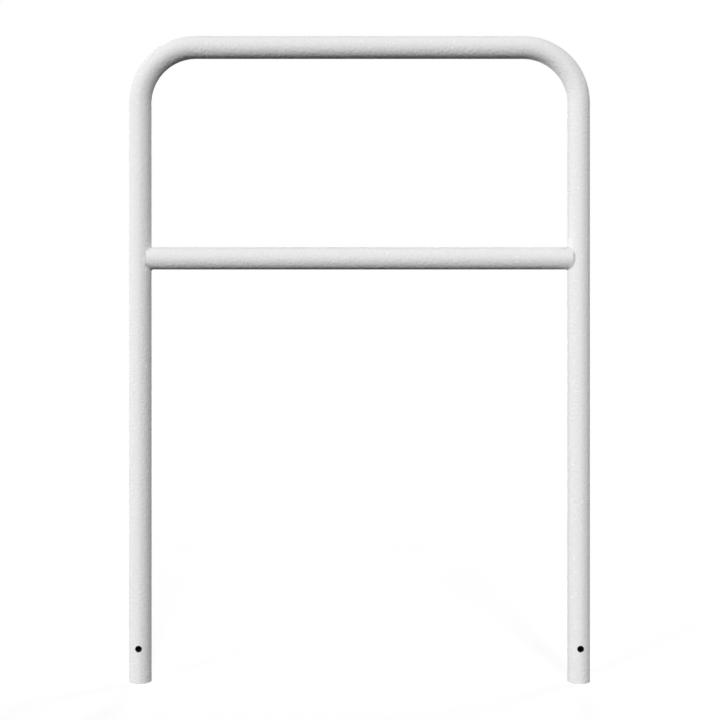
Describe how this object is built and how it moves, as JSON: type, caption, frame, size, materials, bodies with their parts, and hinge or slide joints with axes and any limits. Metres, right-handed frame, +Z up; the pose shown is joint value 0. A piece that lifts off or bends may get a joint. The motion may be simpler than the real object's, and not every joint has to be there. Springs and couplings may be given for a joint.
{
  "type": "hoop barrier with crossbar",
  "caption": "Ground-set hoop barrier: one tube bent into an upright hoop with open lower ends and cross-drilled anchor holes, and a coped crossbar welded between its legs.",
  "frame": {"origin": "midway between the two legs, in the plane of their square-cut lower ends", "axes": "+X along the width, the front faces -Y, +Z up along the legs"},
  "size_m": [1, 0.048, 1.4],
  "materials": {
    "coated_tube": "satin white powder coat over galvanised steel tube",
    "coated_weld": "satin white powder coat over a galvanised fillet weld"
  },
  "bodies": {
    "root": {"hoop_tube": "coated_tube", "crossbar": "coated_tube", "left_weld": "coated_weld", "right_weld": "coated_weld"}
  },
  "joints": []
}
